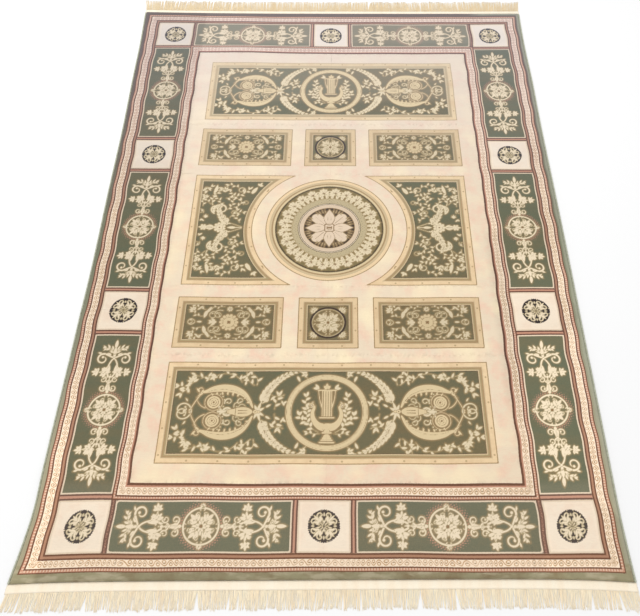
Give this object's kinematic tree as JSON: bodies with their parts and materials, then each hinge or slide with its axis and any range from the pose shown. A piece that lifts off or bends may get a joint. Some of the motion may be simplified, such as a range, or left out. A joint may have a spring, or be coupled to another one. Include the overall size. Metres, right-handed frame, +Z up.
{
  "type": "persian rug",
  "caption": "Flat rectangular pile rug with a panelled classical pattern, overcast side edges and a fringe at each end.",
  "frame": {"origin": "on the floor under the middle of the rug's bounding box", "axes": "+Z up, +Y along the rug's length towards its far fringe, +X across its width"},
  "size_m": [1.6252, 2.4544, 0.016],
  "materials": {
    "pile": "soft cut pile with a silky sheen, cream and sage green with brown and rose lines",
    "binding": "overcast yarn, pale grey-green",
    "fringe": "twisted cream yarn"
  },
  "bodies": {
    "root": {"pile_cloth": "pile", "binding_left": "binding", "binding_right": "binding", "fringe_front": "fringe", "fringe_back": "fringe"}
  },
  "joints": []
}
